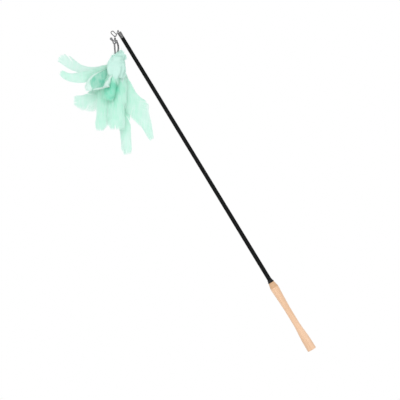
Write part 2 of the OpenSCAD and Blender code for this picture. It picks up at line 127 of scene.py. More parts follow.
def tube_rings(path, radii, sides):
    """Rings of points round a path."""
    ways = unit(np.gradient(path, axis=0))
    across = unit(np.cross(ways, BACK))
    ups = np.cross(across, ways)
    turn = np.linspace(0, 2 * np.pi, sides, endpoint=False)
    ring = np.cos(turn)[None, :, None] * across[:, None] + np.sin(turn)[None, :, None] * ups[:, None]
    return path[:, None] + ring * radii[:, None, None]


def ring_faces(rings, sides):
    """Quads between rings of points, and a fan of triangles over each end."""
    i, j = np.meshgrid(np.arange(rings - 1), np.arange(sides), indexing="ij")
    i, j = i.ravel(), j.ravel()
    i2, j2 = i + 1, (j + 1) % sides
    quads = np.stack([i * sides + j, i * sides + j2, i2 * sides + j2, i2 * sides + j], 1)
    k = np.arange(1, sides - 1)
    zero = np.zeros_like(k)
    first = np.stack([zero, k + 1, k], 1)
    last = np.stack([zero, k, k + 1], 1) + (rings - 1) * sides
    return [quads, first, last]


def lathe(name, profile, foot_s, sides):
    """Turned piece on the wand's axis. The profile is [radius, height] from foot_s, foot first."""
    profile = np.asarray(profile, float)
    across = np.array([WAND_WAY[2], 0, -WAND_WAY[0]])
    back = np.cross(WAND_WAY, across)
    turn = np.linspace(0, 2 * np.pi, sides, endpoint=False)
    ring = np.cos(turn)[:, None] * across + np.sin(turn)[:, None] * back
    points = (foot_s + profile[:, 1])[:, None, None] * WAND_WAY + profile[:, 0][:, None, None] * ring[None]
    return make_mesh(name, points.reshape(-1, 3), ring_faces(len(profile), sides))


# Materials

# Sockets of a node that mixes colours
MIX_FACTOR, MIX_FIRST, MIX_SECOND, MIX_RESULT = 0, 6, 7, 2


class Surface:
    """A Principled material and short ways to add procedural nodes to it."""

    def __init__(self, name, color, roughness, metallic=0.0, **sockets):
        self.material = bpy.data.materials.new(name)
        self.material.use_nodes = True
        self.nodes = self.material.node_tree.nodes
        self.links = self.material.node_tree.links
        self.shader = self.nodes["Principled BSDF"]
        self.shader.inputs["Base Color"].default_value = (*color, 1)
        self.shader.inputs["Roughness"].default_value = roughness
        self.shader.inputs["Metallic"].default_value = metallic
        for socket, value in sockets.items():
            self.shader.inputs[socket.replace("_", " ")].default_value = value

    def add(self, kind, **settings):
        node = self.nodes.new(kind)
        for key, value in settings.items():
            setattr(node, key, value)
        return node

    def wire(self, output, socket):
        self.links.new(output, socket)

    def place(self, scale=(1, 1, 1), turn=(0, 0, 0)):
        """Object coordinates in millimetres, turned and then scaled."""
        coordinates = self.add("ShaderNodeTexCoord")
        turned = self.add("ShaderNodeMapping")
        turned.inputs["Rotation"].default_value = turn
        self.wire(coordinates.outputs["Object"], turned.inputs["Vector"])
        scaled = self.add("ShaderNodeMapping")
        scaled.inputs["Scale"].default_value = [s / MM for s in scale]
        self.wire(turned.outputs["Vector"], scaled.inputs["Vector"])
        return scaled.outputs["Vector"]

    def noise(self, vector, scale, detail, roughness=0.5, distortion=0.0):
        """Noise with scale waves to the millimetre."""
        node = self.add("ShaderNodeTexNoise")
        self.wire(vector, node.inputs["Vector"])
        node.inputs["Scale"].default_value = scale
        node.inputs["Detail"].default_value = detail
        node.inputs["Roughness"].default_value = roughness
        node.inputs["Distortion"].default_value = distortion
        return node.outputs["Fac"]

    def span(self, value, low, high, to_low=0.0, to_high=1.0):
        """Maps low to to_low and high to to_high, and stays between them."""
        node = self.add("ShaderNodeMapRange")
        self.wire(value, node.inputs["Value"])
        ends = {"From Min": low, "From Max": high, "To Min": to_low, "To Max": to_high}
        for socket, number in ends.items():
            node.inputs[socket].default_value = number
        return node.outputs["Result"]

    def mix(self, factor, first, second):
        """From first to second as factor goes from 0 to 1. They are colours or outputs."""
        node = self.add("ShaderNodeMix", data_type="RGBA")
        for index, value in ((MIX_FACTOR, factor), (MIX_FIRST, first), (MIX_SECOND, second)):
            if isinstance(value, float):
                node.inputs[index].default_value = value
            elif isinstance(value, tuple):
                node.inputs[index].default_value = (*value, 1)
            else:
                self.wire(value, node.inputs[index])
        return node.outputs[MIX_RESULT]

    def math(self, operation, first, second):
        node = self.add("ShaderNodeMath", operation=operation)
        self.wire(first, node.inputs[0])
        self.wire(second, node.inputs[1])
        return node.outputs[0]

    def color(self, output):
        self.wire(output, self.shader.inputs["Base Color"])

    def rough(self, output):
        self.wire(output, self.shader.inputs["Roughness"])

    def bump(self, height, strength, depth):
        node = self.add("ShaderNodeBump")
        node.inputs["Strength"].default_value = strength
        node.inputs["Distance"].default_value = depth * MM
        self.wire(height, node.inputs["Height"])
        self.wire(node.outputs["Normal"], self.shader.inputs["Normal"])

    def attribute(self, name):
        return self.add("ShaderNodeAttribute", attribute_name=name).outputs["Fac"]


ALONG_WAND = (0, LEAN, 0)


def wood_material():
    """Pale sanded wood with lengthwise grain and small pores, browner where the cut attribute is high."""
    pale, warm = (0.89, 0.61, 0.42), (0.8, 0.52, 0.33)
    streak, pore, end_grain = (0.7, 0.42, 0.23), (0.55, 0.3, 0.16), (0.6, 0.36, 0.19)
    s = Surface("pale_wood", (0.85, 0.6, 0.38), 0.5)
    fine_at = s.place((1, 1, 0.03), ALONG_WAND)
    broad = s.noise(s.place((1, 1, 0.05), ALONG_WAND), scale=0.22, detail=3, distortion=0.6)
    streaks = s.noise(fine_at, scale=1.6, detail=5, roughness=0.6, distortion=0.3)
    pores = s.noise(fine_at, scale=5, detail=2)
    base = s.mix(s.span(broad, 0.35, 0.65), pale, warm)
    base = s.mix(s.span(streaks, 0.42, 0.7, 0, 0.4), base, streak)
    base = s.mix(s.span(pores, 0.6, 0.75, 0, 0.25), base, pore)
    s.color(s.mix(s.attribute("cut"), base, end_grain))
    s.rough(s.span(streaks, 0.3, 0.7, 0.42, 0.6))
    s.bump(s.mix(0.5, streaks, pores), strength=0.35, depth=0.12)
    return s.material


def rod_material():
    """Black pultruded rod: satin, with fine lengthwise fibres."""
    dark, light = (0.004, 0.0045, 0.0045), (0.013, 0.014, 0.014)
    s = Surface("black_rod", (0.006, 0.0065, 0.0065), 0.45, Specular_IOR_Level=0.5, IOR=1.12)
    fibres = s.noise(s.place((1, 1, 0.02), ALONG_WAND), scale=6, detail=3, roughness=0.55)
    wear = s.noise(s.place((1, 1, 0.3), ALONG_WAND), scale=0.25, detail=4, roughness=0.6)
    s.color(s.mix(s.span(fibres, 0.35, 0.7), dark, light))
    s.rough(s.span(wear, 0.3, 0.7, 0.32, 0.48))
    s.bump(fibres, strength=0.25, depth=0.05)
    return s.material


def rubber_material():
    """Dull black rubber with a fine grain."""
    dark, light = (0.005, 0.005, 0.005), (0.015, 0.015, 0.015)
    s = Surface("black_rubber", (0.008, 0.008, 0.008), 0.6, Specular_IOR_Level=0.25)
    grain = s.noise(s.place(), scale=4, detail=4, roughness=0.6)
    s.color(s.mix(s.span(grain, 0.35, 0.7), dark, light))
    s.rough(s.span(grain, 0.3, 0.7, 0.5, 0.7))
    s.bump(grain, strength=0.3, depth=0.06)
    return s.material


def metal_material(name, bright, dark, roughness, scale):
    """Plated metal with faint casting waves, and dark patches of painted reflection. scale is the patches'
    noise scale.
    """
    s = Surface(name, bright, roughness, 1.0)
    patches = s.noise(s.place(), scale, detail=4, roughness=0.6)
    scratches = s.noise(s.place((1, 1, 0.15)), 5 * scale, detail=3, roughness=0.6)
    # Painted reflection: the dark patches stand for dark surroundings mirrored in the metal
    s.color(s.mix(s.span(patches, 0.4, 0.72), bright, dark))
    s.rough(s.span(scratches, 0.35, 0.7, roughness * 0.75, roughness * 1.35))
    s.bump(patches, strength=0.2, depth=0.05)
    return s.material


def cap_material():
    """Moulded mint plastic, slightly mottled."""
    deep, pale = (0.34, 0.74, 0.57), (0.48, 0.84, 0.68)
    s = Surface("mint_cap", (0.4, 0.78, 0.62), 0.45)
    grain = s.noise(s.place(), scale=1.5, detail=4, roughness=0.6)
    s.color(s.mix(s.span(grain, 0.3, 0.7), deep, pale))
    s.rough(s.span(grain, 0.3, 0.7, 0.38, 0.55))
    s.bump(grain, strength=0.2, depth=0.05)
    return s.material


def thread_material():
    """Waxed mint thread with the twist of its yarn."""
    deep, pale = (0.42, 0.78, 0.64), (0.7, 0.93, 0.84)
    s = Surface("mint_thread", (0.6, 0.88, 0.77), 0.7)
    twist = s.noise(s.place((1, 1, 2)), scale=5, detail=3, roughness=0.6)
    s.color(s.mix(s.span(twist, 0.3, 0.7), deep, pale))
    s.rough(s.span(twist, 0.3, 0.7, 0.6, 0.8))
    s.bump(twist, strength=0.5, depth=0.1)
    return s.material


def feather_material(name, deep, mid, pale):
    """Dyed barbs: deepest where the tint attribute is 0, palest where it is 1, and paler at their
    ends. The tint carries painted shade in the heart and in hollows, and painted light on hollow rims. The
    strand attribute sets each barb a little apart."""
    s = Surface(name, mid, 0.6, Sheen_Weight=0.15, Sheen_Roughness=0.5, Specular_IOR_Level=0.25)
    strand = s.attribute("strand")
    streaks = s.noise(s.place((1, 1, 0.16)), scale=0.45, detail=3)
    cloud = s.noise(s.place(), scale=0.09, detail=3)
    tint = s.math("ADD", s.attribute("tint"), s.span(streaks, 0.3, 0.7, -0.16, 0.16))
    inner = s.mix(s.span(tint, 0.0, 0.45), deep, mid)
    whole = s.mix(s.span(tint, 0.4, 1.0), inner, pale)
    whole = s.mix(s.span(cloud, 0.4, 0.7, 0, 0.4), whole, pale)
    whole = s.mix(s.span(s.attribute("end"), 0.72, 1.0, 0, 0.5), whole, pale)
    s.color(s.mix(s.span(strand, 0, 1, 0, 0.16), whole, mid))
    s.rough(s.span(strand, 0, 1, 0.5, 0.75))
    s.bump(s.noise(s.place(), scale=8, detail=2), strength=0.2, depth=0.03)
    return s.material


# The cap and its slots for the quills, as in the CAD source

REACH = 128
CAP_H = 4
CAP_FOOT = np.array([JOINTS["feather_swing"][0], 0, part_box("lure_cap")[0][2] / MM])
OUTER_SLOTS = 8
OUTER_R = 1.9
INNER_SLOTS = 4
INNER_R = 0.8
INNER_TURN = 22.5


def out_at(degrees):
    """Level direction away from the cap's axis. 0 is to the right and -90 to the front."""
    return np.array([math.cos(math.radians(degrees)), math.sin(math.radians(degrees)), 0])


def outer_slot(i):
    return OUTER_R * out_at(360 * i / OUTER_SLOTS)


def inner_slot(i):
    return INNER_R * out_at(INNER_TURN + 360 * i / INNER_SLOTS)


# Barbs: the points along each, the step from one to the next and their width. The curled feather's
# barbs spread far apart at its wide edge, so it has more and wider ones.
BARB = dict(points=9, step=0.42, width=0.4)
CURL_BARB = dict(points=17, step=0.3, width=0.56)
PLUME_BARB = dict(points=7, step=0.3, width=0.44)

# How much deeper most feathers are tinted than their place makes them, as a share of the tint
SHADE_SHARE = 0.22

# Each feather starts at a slot in the cap and runs through three guide points, given as shares of
# the reach. Each side has places from the foot, 0, to the tip, 1, with its width there, also as a
# share of the reach. The left side is the one on the left where the feather hangs down with its
# face to the front. Pairs of values have the right side first.
# rolls: degrees that a side rolls up towards the face by its edge, or down where negative
# bends: 1 where a side rolls evenly, and more where it rolls mostly near its edge
# loose: how unkempt the barbs are
# ends_from: the end attribute at a barb's root. It is 1 at the tip, and pale where it is high.
# pale_tips: whether barbs have pale ends
# hollow_shade: how much deeper the feather is tinted inside its rim as painted shade, with its rim then
# palest as painted light
# shade: how much deeper all of it is tinted
BACK_SHARES = [(0.12, 0.03), (0.3, 0.065), (0.5, 0.078), (0.75, 0.06), (0.9, 0.035), (1, 0.008)]
SLIM_SHARES = [(0.12, 0.02), (0.3, 0.045), (0.5, 0.055), (0.75, 0.048), (0.9, 0.03), (1, 0.008)]
FEATHERS = {
    "feather_long_left": dict(
        slot=outer_slot(3),
        guide_shares=[[-0.16, 0.04, -0.19], [-0.36, 0.11, -0.09], [-0.615, 0.165, 0.01]],
        right_shares=[(0.12, 0.01), (0.25, 0.04), (0.4, 0.058), (0.7, 0.052), (0.78, 0.053),
                      (0.86, 0.042), (0.94, 0.026), (1, 0.014)],
        left_shares=[(0.12, 0.012), (0.25, 0.04), (0.4, 0.038), (0.55, 0.034), (0.68, 0.038),
                     (0.8, 0.068), (0.88, 0.088), (0.94, 0.084), (0.98, 0.074), (1, 0.06)],
        rolls=(20, 15), shade=0),
    "feather_low_left": dict(
        slot=outer_slot(4),
        guide_shares=[[-0.16, -0.045, -0.16], [-0.38, -0.1, -0.24], [-0.57, -0.155, -0.15]],
        right_shares=[(0.12, 0.02), (0.25, 0.05), (0.4, 0.066), (0.55, 0.074), (0.7, 0.068),
                      (0.82, 0.056), (0.92, 0.042), (0.98, 0.024), (1, 0.01)],
        left_shares=[(0.12, 0.01), (0.25, 0.03), (0.4, 0.05), (0.55, 0.056), (0.7, 0.05),
                     (0.8, 0.034), (0.9, 0.036), (0.97, 0.042), (1, 0.03)],
        rolls=(25, 20)),
    # Painted shade and light: the curled feather's inside is tinted deeper as painted shade of its hollow,
    # and its rim and rolled left side are palest as painted light.
    "feather_curled": dict(
        slot=outer_slot(5),
        guide_shares=[[-0.07, -0.07, -0.14], [-0.26, -0.12, -0.15], [-0.235, -0.11, -0.33]],
        right_shares=[(0.15, 0.02), (0.25, 0.1), (0.4, 0.21), (0.5, 0.275), (0.7, 0.33),
                      (0.85, 0.335), (0.93, 0.3), (0.98, 0.22), (1, 0.13)],
        left_shares=[(0.2, 0.008), (0.39, 0.01), (0.46, 0.016), (0.53, 0.026), (0.68, 0.046),
                     (0.87, 0.074), (0.95, 0.086), (1, 0.065)],
        rolls=(235, 50), bends=(2.6, 1.5), barb=CURL_BARB, ends_from=(0, 0.6), hollow_shade=0.6, shade=0),
    "feather_blunt_left": dict(
        slot=inner_slot(2),
        guide_shares=[[-0.06, 0.02, -0.25], [-0.2, 0.04, -0.46], [-0.445, 0.03, -0.45]],
        right_shares=[(0.12, 0.02), (0.25, 0.05), (0.4, 0.11), (0.55, 0.156), (0.72, 0.16),
                      (0.82, 0.126), (0.9, 0.086), (0.96, 0.05), (1, 0.02)],
        left_shares=[(0.12, 0.03), (0.25, 0.07), (0.4, 0.1), (0.55, 0.1), (0.68, 0.082),
                     (0.8, 0.07), (0.9, 0.076), (0.96, 0.08), (1, 0.065)],
        rolls=(35, 30), shade=0.1),
    "feather_fluffy_left": dict(
        slot=inner_slot(3),
        guide_shares=[[-0.03, -0.04, -0.24], [-0.13, -0.07, -0.5], [-0.165, -0.03, -0.75]],
        right_shares=[(0.12, 0.02), (0.25, 0.05), (0.4, 0.085), (0.55, 0.1), (0.82, 0.1),
                      (0.9, 0.088), (0.95, 0.06), (1, 0.026)],
        left_shares=[(0.12, 0.03), (0.2, 0.085), (0.3, 0.135), (0.42, 0.14), (0.55, 0.116),
                     (0.7, 0.102), (0.78, 0.084), (0.86, 0.074), (0.93, 0.064), (1, 0.046)],
        rolls=(50, 15)),
    "feather_fluffy_mid": dict(
        slot=outer_slot(7),
        guide_shares=[[0.01, -0.07, -0.22], [-0.02, -0.1, -0.45], [-0.02, -0.08, -0.74]],
        right_shares=[(0.12, 0.04), (0.2, 0.09), (0.3, 0.12), (0.4, 0.126), (0.6, 0.125),
                      (0.8, 0.125), (0.92, 0.122), (1, 0.115)],
        left_shares=[(0.12, 0.02), (0.25, 0.065), (0.4, 0.086), (0.6, 0.095), (0.8, 0.097),
                     (0.9, 0.095), (0.95, 0.078), (1, 0.05)],
        rolls=(-55, -35)),
    "feather_straight": dict(
        slot=inner_slot(0),
        guide_shares=[[0.05, 0.02, -0.3], [0.08, 0.03, -0.62], [0.107, 0.02, -0.995]],
        right_shares=[(0.12, 0.03), (0.25, 0.067), (0.4, 0.071), (0.55, 0.067), (0.7, 0.063),
                      (0.8, 0.061), (0.9, 0.058), (0.97, 0.055), (1, 0.042)],
        left_shares=[(0.12, 0.02), (0.25, 0.04), (0.4, 0.055), (0.55, 0.062), (0.72, 0.066),
                     (0.79, 0.062), (0.89, 0.056), (0.96, 0.06), (1, 0.034)],
        rolls=(10, 50)),
    "feather_pointed_right": dict(
        slot=outer_slot(0),
        guide_shares=[[0.06, -0.01, -0.3], [0.2, 0, -0.47], [0.37, -0.03, -0.84]],
        right_shares=[(0.12, 0.025), (0.25, 0.05), (0.35, 0.068), (0.47, 0.068), (0.56, 0.09),
                      (0.63, 0.128), (0.68, 0.13), (0.72, 0.108), (0.78, 0.084), (0.88, 0.06),
                      (0.95, 0.036), (1, 0.014)],
        left_shares=[(0.12, 0.05), (0.25, 0.1), (0.4, 0.105), (0.55, 0.118), (0.65, 0.123),
                     (0.74, 0.09), (0.85, 0.052), (0.93, 0.046), (1, 0.028)],
        rolls=(15, -15)),
    "feather_back_left": dict(
        slot=inner_slot(1), face=BACK,
        guide_shares=[[-0.07, 0.09, -0.18], [-0.13, 0.14, -0.36], [-0.15, 0.16, -0.58]],
        right_shares=BACK_SHARES, left_shares=BACK_SHARES, rolls=(20, 20)),
    "feather_back_mid": dict(
        slot=outer_slot(2), face=BACK,
        guide_shares=[[0, 0.14, -0.15], [0.02, 0.25, -0.35], [-0.02, 0.29, -0.66]],
        right_shares=BACK_SHARES, left_shares=BACK_SHARES, rolls=(20, 20)),
    "feather_back_right": dict(
        slot=outer_slot(1), face=BACK,
        guide_shares=[[0.045, 0.11, -0.15], [0.12, 0.18, -0.33], [0.12, 0.22, -0.52]],
        right_shares=SLIM_SHARES, left_shares=SLIM_SHARES, rolls=(20, 20)),
    "feather_core": dict(
        slot=outer_slot(6),
        guide_shares=[[-0.01, -0.1, -0.1], [-0.05, -0.16, -0.24], [-0.07, -0.16, -0.44]],
        right_shares=[(0.12, 0.02), (0.3, 0.06), (0.55, 0.09), (0.75, 0.092), (0.9, 0.07), (1, 0.045)],
        left_shares=[(0.12, 0.02), (0.3, 0.06), (0.55, 0.09), (0.75, 0.1), (0.9, 0.085), (1, 0.05)],
        rolls=(-65, -65), loose=3, pale_tips=False),
}


# The vane of a feather

QUILL_D = 0.9
QUILL_IN = 2.75
VANE_SAMPLES = 400
ROLL_FULL_SHARE = 0.5
ROLL_STEPS = (np.arange(12) + 0.5) / 12
TABLE_T = np.linspace(0, 1, 201)
EDGE_BLUR = 9


def edge_table(pairs):
    """Widths at TABLE_T from a list of places and widths, with the corners rounded."""
    places, widths = np.array([(0, QUILL_D / 2)] + list(pairs)).T
    blur = np.hanning(EDGE_BLUR + 2)
    widths = np.pad(np.interp(TABLE_T, places, widths), EDGE_BLUR // 2 + 1, "edge")
    return np.convolve(widths, blur / blur.sum(), "valid")


class Vane:
    """The curved surface that a feather's barbs lie on. Side 0 is its right and side 1 its left."""

    def __init__(self, guide, right, left, rolls, face, bends=(1, 1)):
        self.guide = np.asarray(guide, float)
        self.edges = (edge_table(right), edge_table(left))
        self.rolls = np.radians(rolls)
        self.bends = bends
        self.face = face
        path = self.point(np.linspace(0, 1, VANE_SAMPLES))
        self.length = np.linalg.norm(np.diff(path, axis=0), axis=1).sum()

    def point(self, t):
        """Place on the shaft's line, from its foot at 0 to its tip at 1."""
        t = np.asarray(t, float)[..., None]
        p = self.guide
        return (1 - t) ** 3 * p[0] + 3 * t * (1 - t) ** 2 * p[1] + 3 * t * t * (1 - t) * p[2] + t ** 3 * p[3]

    def way(self, t):
        t = np.asarray(t, float)[..., None]
        p = self.guide
        return unit((1 - t) ** 2 * (p[1] - p[0]) + 2 * t * (1 - t) * (p[2] - p[1]) + t * t * (p[3] - p[2]))

    def half(self, t, side):
        """Width of one side of the vane, measured along its surface."""
        return np.interp(t, TABLE_T, self.edges[side])

    def axes(self, t):
        """Directions to the left, out of the face and along the shaft."""
        way = self.way(t)
        left = unit(np.cross(way, self.face))
        return left, np.cross(left, way), way

    def surface(self, t, x, side):
        """Place and normal of the point that lies x millimetres beside the quill, along the vane."""
        t = np.clip(t, 0, 1)
        across, out, _ = self.axes(t)
        across = across * (1 if side else -1)
        roll = self.rolls[side] * ease(t / ROLL_FULL_SHARE)
        share = (x / self.half(t, side)).clip(0, 1)
        turns = roll[..., None] * (share[..., None] * ROLL_STEPS) ** self.bends[side]
        flat = x * np.cos(turns).mean(-1)
        rise = x * np.sin(turns).mean(-1)
        place = self.point(t) + across * flat[..., None] + out * rise[..., None]
        turn = (roll * share ** self.bends[side])[..., None]
        return place, out * np.cos(turn) - across * np.sin(turn)


# Barbs and down are thin closed strands. Locks are runs of barbs that cling together.
STRAND_SIDES = 3
BARB_RIDGE = 0.07
VANE_FROM_SHARE = 0.06
SHAFT_END_SHARE = 0.92
LOCK_BARBS = (9, 46)
MOST_LOCK_VALUE = 2
SPLIT = 0.22
DEEP_SPLIT = 2.2
DEEP_SPLIT_CHANCE = 0.08

# The vane's edge is sampled along its side and then in to the shaft at its tip. A lean power under 1
# makes the barbs near the foot lean further.
EDGE_SAMPLES = 500
TIP_SAMPLES = 20
TIP_SHARE = 0.1
LEAN_POWER = 0.88

# The middle of a barb's curve from the shaft to the edge, as shares of the way along and across
MIDDLE_ALONG_SHARE = 0.32
MIDDLE_ACROSS_SHARE = 0.6

# How far barbs of loose 1 stray, in length as a share of it and off the vane
LOCK_TRIM_SHARE = 0.025
BARB_TRIM_SHARE = 0.012
MOST_TRIM_SHARE = 1.02
LOCK_LIFT = 0.45
WAVE_LIFT = 0.2
BARB_LIFT = 0.07
WAVE_TURNS = (2, 4)
WAVE_PER_LOCK = 3

# How a barb's width thins and varies, and its tilt towards the tip
THIN_FROM_SHARE = 0.82
THINNED_SHARE = 0.75
THIN_POWER = 1.5
BARB_W_SHARES = (0.88, 1.12)
BARB_TILT = 0.22


def strands(paths, normals, widths, ridge):
    """Strands with a flat back and a low ridge. Returns their points and arrays of faces."""
    count, length, _ = paths.shape
    ways = unit(np.gradient(paths, axis=1))
    across = unit(np.cross(ways, normals))
    normals = np.cross(across, ways)
    w = widths[..., None] / 2
    points = np.stack([paths - across * w, paths + across * w, paths + normals * ridge], 2)
    quads, first, last = ring_faces(length, STRAND_SIDES)
    ends = np.concatenate([first, last])
    start = (np.arange(count) * length * STRAND_SIDES)[:, None, None]
    return points.reshape(-1, 3), [(quads[None] + start).reshape(-1, 4), (ends[None] + start).reshape(-1, 3)]


def locks(count, rng):
    """Sorts barbs into locks: a value for each lock, and how far the splits beside it pull each barb."""
    values = np.zeros(count)
    pull = np.zeros(count)
    before = 0.0
    i = 0
    while i < count:
        size = min(int(rng.integers(*LOCK_BARBS)), count - i)
        after = SPLIT * rng.exponential()
        if rng.random() < DEEP_SPLIT_CHANCE:
            after += DEEP_SPLIT * rng.random()
        within = np.linspace(0, 1, size)
        values[i:i + size] = rng.normal()
        pull[i:i + size] = before * (1 - within) - after * within
        before = after
        i += size
    return values.clip(-MOST_LOCK_VALUE, MOST_LOCK_VALUE), pull


def barbs(vane, side, rng, loose, points, step, width):
    """The barbs of one side: their paths, normals and widths, and a random value for each."""
    count = int(vane.length * (SHAFT_END_SHARE - VANE_FROM_SHARE) / step)
    q = np.linspace(0, 1, count)
    u = np.linspace(0, 1, points)[None, :]

    # Where each barb leaves the shaft and meets the edge
    start_s = vane.length * (VANE_FROM_SHARE + (SHAFT_END_SHARE - VANE_FROM_SHARE) * q)
    edge_t = np.concatenate([np.linspace(VANE_FROM_SHARE, 1, EDGE_SAMPLES), np.ones(TIP_SAMPLES)])
    edge_x = vane.half(edge_t, side)
    edge_x[-TIP_SAMPLES:] *= np.linspace(1, TIP_SHARE, TIP_SAMPLES)
    edge_s = edge_t * vane.length
    run = np.concatenate([[0], np.cumsum(np.hypot(np.diff(edge_s), np.diff(edge_x)))])
    end_s = np.interp(q ** LEAN_POWER * run[-1], run, edge_s)
    end_x = np.interp(q ** LEAN_POWER * run[-1], run, edge_x)

    # Curves on the flat vane, trimmed and split
    lock, pull = locks(count, rng)
    trim = 1 + loose * (LOCK_TRIM_SHARE * lock + rng.normal(0, BARB_TRIM_SHARE, count))
    middle, end = 2 * u * (1 - u), u * u
    wide = (end_x / vane.edges[side].max())[:, None]
    s = start_s[:, None] + (middle * MIDDLE_ALONG_SHARE + end) * ((end_s - start_s) * trim)[:, None]
    x = (middle * MIDDLE_ACROSS_SHARE + end) * (end_x * trim.clip(0, MOST_TRIM_SHARE))[:, None]
    s = s + pull[:, None] * u ** 2 * wide

    # The same curves on the rolled vane, and straight on beyond its tip
    place, normal = vane.surface(s / vane.length, x, side)
    beyond = np.maximum(0, s - vane.length)
    place = place + vane.way(np.ones_like(s)) * beyond[..., None]

    # Strays
    wave = np.sin(u * rng.uniform(*WAVE_TURNS, count)[:, None] + lock[:, None] * WAVE_PER_LOCK)
    lift = loose * (LOCK_LIFT * lock[:, None] * u ** 2 + WAVE_LIFT * wave * u) * wide
    lift = lift + loose * rng.normal(0, BARB_LIFT, count)[:, None] * u
    place = place + normal * lift[..., None]

    thin = np.clip((u - THIN_FROM_SHARE) / (1 - THIN_FROM_SHARE), 0, 1) ** THIN_POWER
    widths = width * (1 - THINNED_SHARE * thin) * rng.uniform(*BARB_W_SHARES, count)[:, None]
    tilted = unit(normal + BARB_TILT * vane.way(np.clip(s / vane.length, 0, 1)))
    return place, tilted, widths, rng.random(count)


# Strands of down. How far they wave and bend is a share of their length.
DOWN_W = 0.2
DOWN_RIDGE = 0.05
DOWN_POINTS = 8
DOWN_THINNED_SHARE = 0.6
DOWN_TURNS = (3, 7)
DOWN_WAVE_SHARE = 0.1
DOWN_BEND_SHARE = 0.15


def down_paths(roots, ways, lengths, rng):
    """Soft wavy paths that start at roots and leave along ways, and their normals."""
    count = len(roots)
    u = np.linspace(0, 1, DOWN_POINTS)[None, :, None]
    first = unit(np.cross(ways, rng.normal(size=(count, 3))))
    second = np.cross(ways, first)
    phase = rng.uniform(0, 2 * np.pi, (2, count, 1, 1))
    turns = rng.uniform(*DOWN_TURNS, (2, count, 1, 1))
    bends = rng.normal(0, DOWN_BEND_SHARE, (2, count, 1, 1))
    sway, swing = DOWN_WAVE_SHARE * u * np.sin(turns * u + phase) + bends * u ** 2
    offset = u * ways[:, None] + sway * first[:, None] + swing * second[:, None]
    paths = roots[:, None] + lengths[:, None, None] * offset
    return paths, np.broadcast_to(second[:, None], paths.shape)


# The tint is deepest in a heart under the cap, where the vanes crowd together: painted shade of that hollow.
# It fades fast upwards, slowly downwards, and hardly from front to back. The halo's share of it fades
# further out.
HEART_SHARES = np.array([-0.042, -0.15, -0.31])
HEART_SCALE = np.array([1.5, 0.4, 1.0])
HEART_UP = 1.7
HEART_R = (6, 21)
HALO_R = (8, 75)
HALO_SHARE = 0.45
RIM_SHARES = (0.68, 0.8)


def paleness(points):
    """0 where the painted shade of the heart is deepest, 1 where it is palest."""
    away = (points - CAP_FOOT - REACH * HEART_SHARES) * HEART_SCALE
    away[:, 2] *= np.where(away[:, 2] > 0, HEART_UP, 1)
    far = np.linalg.norm(away, axis=-1)
    heart = ease((far - HEART_R[0]) / (HEART_R[1] - HEART_R[0]))
    halo = np.clip((far - HALO_R[0]) / (HALO_R[1] - HALO_R[0]), 0, 1)
    return (1 - HALO_SHARE) * heart + HALO_SHARE * halo


class Plumage:
    """Gathers shafts and strands into one mesh. Strands are shaded flat, because a smooth normal on
    three sides would point sideways and darken them."""

    def __init__(self):
        self.points, self.faces, self.shades, self.ends = [], [], [], []
        self.start = 0

    def add(self, points, face_groups, shades, ends):
        self.points.append(points)
        self.faces += [faces + self.start for faces in face_groups]
        self.shades.append(shades)
        self.ends.append(ends)
        self.start += len(points)

    def add_strands(self, paths, normals, widths, ridge, shades, end_from=0.0):
        points, faces = strands(paths, normals, widths, ridge)
        count, length, _ = paths.shape
        ends = np.tile(np.repeat(np.linspace(end_from, 1, length), STRAND_SIDES), count)
        self.add(points, faces, np.repeat(shades, length * STRAND_SIDES), ends)

    def add_shaft(self, path, radii, sides):
        rings = tube_rings(path, radii, sides)
        plain = np.zeros(len(rings) * sides)
        self.add(rings.reshape(-1, 3), ring_faces(len(rings), sides), plain, plain)

    def add_vane(self, vane, rng, loose, barb, ends_from=(0, 0)):
        for side, end_from in enumerate(ends_from):
            place, normal, widths, shades = barbs(vane, side, rng, loose, **barb)
            self.add_strands(place, normal, widths, BARB_RIDGE, shades, end_from)

    def add_down(self, roots, ways, lengths, rng):
        paths, normals = down_paths(roots, ways, lengths, rng)
        thin = 1 - DOWN_THINNED_SHARE * np.linspace(0, 1, DOWN_POINTS)
        widths = np.tile(DOWN_W * thin, (len(roots), 1))
        self.add_strands(paths, normals, widths, DOWN_RIDGE, rng.random(len(roots)))

    def finish(self, name, node, material, hollow_shade=0.0, shade=0.0, palest_from=0.0, pale_tips=True):
        points = np.concatenate(self.points) + CAP_FOOT
        ends = np.concatenate(self.ends)
        # Painted shade and light: hollow_shade tints a feather deeper inside its rim as painted shade, and
        # its rim is then painted palest as painted light.
        inside = 1 - ease((ends - RIM_SHARES[0]) / (RIM_SHARES[1] - RIM_SHARES[0]))
        # paleness paints the shade of the heart under the cap into the tint
        tint = paleness(points) - hollow_shade * inside - shade
        if hollow_shade:
            tint = np.maximum(tint, 1 - inside)
        obj = make_mesh(name, points, self.faces, smooth=False)
        point_value(obj, "tint", tint.clip(palest_from, 1))
        point_value(obj, "strand", np.concatenate(self.shades))
        point_value(obj, "end", ends if pale_tips else np.zeros_like(ends))
        return dress(obj, "lure", material, node)


SHAFT_SIDES = 8
SHAFT_RINGS = 60
SHAFT_TIP_SHARE = 0.94
SHAFT_THINNED_SHARE = 0.8
SHAFT_THIN_POWER = 0.8
FOOT_DOWN = 110
FOOT_DOWN_SHARES = (0.02, 0.2)
FOOT_DOWN_ALONG = 0.7
FOOT_DOWN_OUT = 0.4
DOWN_LEN = (3, 7)


def in_mm(shares):
    return [(t, REACH * share) for t, share in shares]


